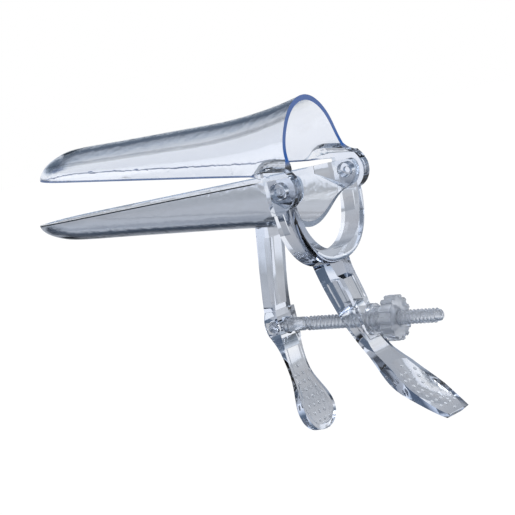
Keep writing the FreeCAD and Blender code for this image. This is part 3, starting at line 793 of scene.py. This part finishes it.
def lay_pips(name, material, node, body, middle, outward, along, half_width, half_length):
    """Lays pips on a grip's face, each one square to the surface under it."""
    pips = bpy.context.scene.speculum_pips
    pattern = one_pip(pips)
    moulding = frame["nodes"][node]
    outward = Vector(outward).normalized()
    along = Vector(along).normalized()
    across = along.cross(outward)
    laid = []
    for sideways, lengthways in pip_places(pips, half_width, half_length):
        start = Vector(middle) + across * sideways + along * lengthways + outward * ABOVE_GRIP
        hit, spot, normal, _ = moulding.ray_cast(start, -outward)
        if not hit or normal.dot(outward) < LEAST_FACING:
            continue
        pip = pattern.copy()
        pip.data = pattern.data.copy()
        bpy.context.scene.collection.objects.link(pip)
        pip.matrix_world = Matrix.Translation(spot) @ normal.to_track_quat("Z", "Y").to_matrix().to_4x4()
        laid.append(pip)
    if not laid:
        raise RuntimeError(f"no pip found its place on {node}")
    bpy.data.objects.remove(pattern)
    deselect()
    for pip in laid:
        pip.select_set(True)
    bpy.context.view_layer.objects.active = laid[0]
    bpy.ops.object.join()
    bpy.ops.object.transform_apply(location=True, rotation=True, scale=True)
    finish_piece(laid[0], name, body, material)


class SPECULUM_OT_pips(bpy.types.Operator):
    """Lay the raised pips on the finger grip and the thumb grip"""

    bl_idname = "speculum.pips"
    bl_label = "Grip Pips"

    def execute(self, context):
        plastic = clear_plastic("pip_polystyrene", **PIP_FINISH)
        for name, grip in GRIPS.items():
            lay_pips(name, plastic, **grip)
        return {"FINISHED"}


def camera_axes(studio):
    """The camera's right, up and back directions."""
    a, e, r = studio.azimuth, studio.elevation, studio.roll
    back = Vector((math.sin(a) * math.cos(e), -math.cos(a) * math.cos(e), math.sin(e)))
    level = Vector((math.cos(a), math.sin(a), 0))
    upright = back.cross(level)
    right = level * math.cos(r) - upright * math.sin(r)
    up = level * math.sin(r) + upright * math.cos(r)
    return right, up, back


# Each lamp's name, place, size, share of the lamp power, and colour.
LAMPS = [
    ("overhead", (0.1, -0.25, 0.75), (0.8, 0.6), 0.7, (1, 1, 1)),
    ("side", (-0.75, -0.5, 0.25), (0.45, 0.6), 0.2, (0.97, 0.98, 1)),
    ("rim", (0.6, 0.65, 0.35), (0.25, 0.6), 0.3, (0.95, 0.97, 1)),
]


def add_lamp(name, place, target, size, power, colour):
    lamp_data = bpy.data.lights.new(name, "AREA")
    lamp_data.shape = "RECTANGLE"
    lamp_data.size, lamp_data.size_y = size
    lamp_data.energy = power
    lamp_data.color = colour
    lamp = bpy.data.objects.new(name, lamp_data)
    bpy.context.scene.collection.objects.link(lamp)
    lamp.location = place
    lamp.rotation_mode = "QUATERNION"
    lamp.rotation_quaternion = (Vector(target) - Vector(place)).to_track_quat("-Z", "Y")


def colour_ramp(nodes, value, stops):
    """The colour at a value, from stops of (value, colour) in rising order."""
    low, high = stops[0][0], stops[-1][0]
    spread = nodes.add("ShaderNodeMapRange")
    nodes.feed(spread.inputs["Value"], value)
    spread.inputs["From Min"].default_value = low
    spread.inputs["From Max"].default_value = high
    ramp = nodes.add("ShaderNodeValToRGB")
    elements = ramp.color_ramp.elements
    while len(elements) < len(stops):
        elements.new(0.5)
    for element, (place, colour) in zip(elements, stops):
        element.position = (place - low) / (high - low)
        element.color = opaque(colour)
    nodes.feed(ramp.inputs["Fac"], spread.outputs["Result"])
    return ramp.outputs["Color"]


# What the plastic sees of the room, over the sine of the height angle: close to level, and all the way
# from below to above. The two are multiplied.
NEAR_LEVEL = [
    (-0.15, (0.40, 0.42, 0.46)),
    (-0.06, (0.46, 0.47, 0.50)),
    (-0.02, (0.50, 0.52, 0.56)),
    (0.005, (0.44, 0.46, 0.49)),
    (0.013, (0.53, 0.56, 0.61)),
    (0.022, (0.78, 0.82, 0.90)),
    (0.050, (0.90, 0.92, 0.98)),
    (0.15, (0.97, 0.98, 1.0)),
]
ALL_ROUND = [
    (-1.0, (0.90, 0.92, 0.96)),
    (-0.80, (0.80, 0.86, 0.95)),
    (-0.62, (0.10, 0.14, 0.20)),
    (-0.40, (0.12, 0.13, 0.15)),
    (-0.28, (0.90, 0.92, 0.94)),
    (-0.15, (1.0, 1.0, 1.0)),
    (0.15, (1.0, 1.0, 1.0)),
    (0.25, (0.62, 0.68, 0.76)),
    (0.36, (0.14, 0.18, 0.23)),
    (0.60, (0.10, 0.13, 0.18)),
    (0.72, (0.72, 0.78, 0.88)),
    (0.86, (0.78, 0.84, 0.94)),
    (1.0, (0.30, 0.36, 0.46)),
]
# Lengths are in metres, but the sensor's width is in millimetres.
WHITE = (1, 1, 1, 1)
FLOOR_COLOUR = (0.85, 0.86, 0.87)
FLOOR_GLOW = 1.06
FLOOR_GLOW_SHARE = 0.93
FLOOR_SIZE = 6.0
FLOOR_GAP = 0.5 * MM
SENSOR_WIDTH = 36.0
VIEW_END = 20.0


def studio_world(upright):
    """White to the camera; to the plastic, bright walls over a grey table, dusky above and below."""
    world = bpy.data.worlds.new("studio")
    bpy.context.scene.world = world
    world.use_nodes = True
    nodes = Nodes(world.node_tree)
    world.node_tree.nodes.clear()
    place = nodes.add("ShaderNodeTexCoord")
    height = nodes.dot(place.outputs["Generated"], upright)
    room = nodes.add("ShaderNodeMix", data_type="RGBA", blend_type="MULTIPLY")
    room.inputs["Factor"].default_value = 1.0
    nodes.feed(room.inputs["A"], colour_ramp(nodes, height, NEAR_LEVEL))
    nodes.feed(room.inputs["B"], colour_ramp(nodes, height, ALL_ROUND))
    backdrop = nodes.add("ShaderNodeBackground")
    backdrop.inputs["Color"].default_value = WHITE
    light = nodes.add("ShaderNodeBackground")
    nodes.feed(light.inputs["Color"], room.outputs["Result"])
    output = nodes.add("ShaderNodeOutputWorld")
    shown = nodes.camera_or_not(backdrop.outputs["Background"], light.outputs["Background"])
    nodes.feed(output.inputs["Surface"], shown)


def floor_material():
    """Pale floor: white with a faint shadow to the camera, and not in the way of light in the plastic."""
    material = bpy.data.materials.new("pale_floor")
    material.use_nodes = True
    material.node_tree.nodes.clear()
    nodes = Nodes(material.node_tree)
    diffuse = nodes.add("ShaderNodeBsdfDiffuse")
    diffuse.inputs["Color"].default_value = opaque(FLOOR_COLOUR)
    white = nodes.add("ShaderNodeEmission")
    white.inputs["Color"].default_value = WHITE
    white.inputs["Strength"].default_value = FLOOR_GLOW
    floor = nodes.add("ShaderNodeMixShader")
    floor.inputs["Fac"].default_value = FLOOR_GLOW_SHARE
    nodes.feed(floor.inputs[1], diffuse.outputs["BSDF"])
    nodes.feed(floor.inputs[2], white.outputs["Emission"])
    away = nodes.add("ShaderNodeBsdfTransparent")
    output = nodes.add("ShaderNodeOutputMaterial")
    shown = nodes.camera_or_not(floor.outputs["Shader"], away.outputs["BSDF"])
    nodes.feed(output.inputs["Surface"], shown)
    return material


class SPECULUM_OT_studio(bpy.types.Operator):
    """Set up the floor, the light and the camera"""

    bl_idname = "speculum.studio"
    bl_label = "Studio"

    def execute(self, context):
        studio = context.scene.speculum_studio
        right, up, back = camera_axes(studio)
        camera_data = bpy.data.cameras.new("camera")
        camera_data.sensor_width = SENSOR_WIDTH
        camera_data.lens = studio.lens
        camera_data.clip_end = VIEW_END
        camera = bpy.data.objects.new("camera", camera_data)
        context.scene.collection.objects.link(camera)
        camera.location = back * studio.distance - right * studio.aside[0] - up * studio.aside[1]
        camera.rotation_mode = "QUATERNION"
        camera.rotation_quaternion = Matrix((right, up, back)).transposed().to_quaternion()
        context.scene.camera = camera
        low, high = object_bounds()
        deselect()
        bpy.ops.mesh.primitive_plane_add(size=1.0, location=(0, 0, 0))
        floor = context.object
        floor.name = "floor"
        floor_level = Matrix.Translation((0, 0, low.z - FLOOR_GAP))
        floor.data.transform(floor_level @ Matrix.Scale(FLOOR_SIZE, 4))
        floor.data.materials.append(floor_material())
        floor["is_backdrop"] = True
        middle = (low + high) / 2
        for name, place, size, share, colour in LAMPS:
            add_lamp(name, place, middle, size, studio.lamp_power * share, colour)
        studio_world(up)
        context.scene.view_settings.view_transform = "Standard"
        return {"FINISHED"}


class SPECULUM_PT_panel(bpy.types.Panel):
    """Sizes, colours and the pieces"""

    bl_idname = "SPECULUM_PT_panel"
    bl_label = "Bivalve Speculum"
    bl_space_type = "VIEW_3D"
    bl_region_type = "UI"
    bl_category = "Speculum"

    def draw(self, context):
        layout = self.layout
        for name, group in SETTINGS.items():
            box = layout.box()
            box.label(text=name.split("_")[1].title())
            for field in group.__annotations__:
                box.prop(getattr(context.scene, name), field)
        for operator in OPERATORS:
            layout.operator(operator.bl_idname)


SETTINGS = {
    "speculum_plastic": PlasticSettings,
    "speculum_screw": ScrewSettings,
    "speculum_nut": NutSettings,
    "speculum_pips": PipSettings,
    "speculum_studio": StudioSettings,
}
OPERATORS = (
    SPECULUM_OT_mouldings,
    SPECULUM_OT_screw,
    SPECULUM_OT_nut,
    SPECULUM_OT_pips,
    SPECULUM_OT_studio,
)


def register():
    for group in SETTINGS.values():
        bpy.utils.register_class(group)
    for operator in OPERATORS:
        bpy.utils.register_class(operator)
    bpy.utils.register_class(SPECULUM_PT_panel)
    for name, group in SETTINGS.items():
        setattr(bpy.types.Scene, name, bpy.props.PointerProperty(type=group))


def unregister():
    for name in SETTINGS:
        delattr(bpy.types.Scene, name)
    bpy.utils.unregister_class(SPECULUM_PT_panel)
    for operator in reversed(OPERATORS):
        bpy.utils.unregister_class(operator)
    for group in reversed(SETTINGS.values()):
        bpy.utils.unregister_class(group)


def main():
    register()
    bpy.ops.speculum.mouldings()
    bpy.ops.speculum.screw()
    bpy.ops.speculum.nut()
    bpy.ops.speculum.pips()
    bpy.ops.speculum.studio()


if __name__ == "__main__":
    main()
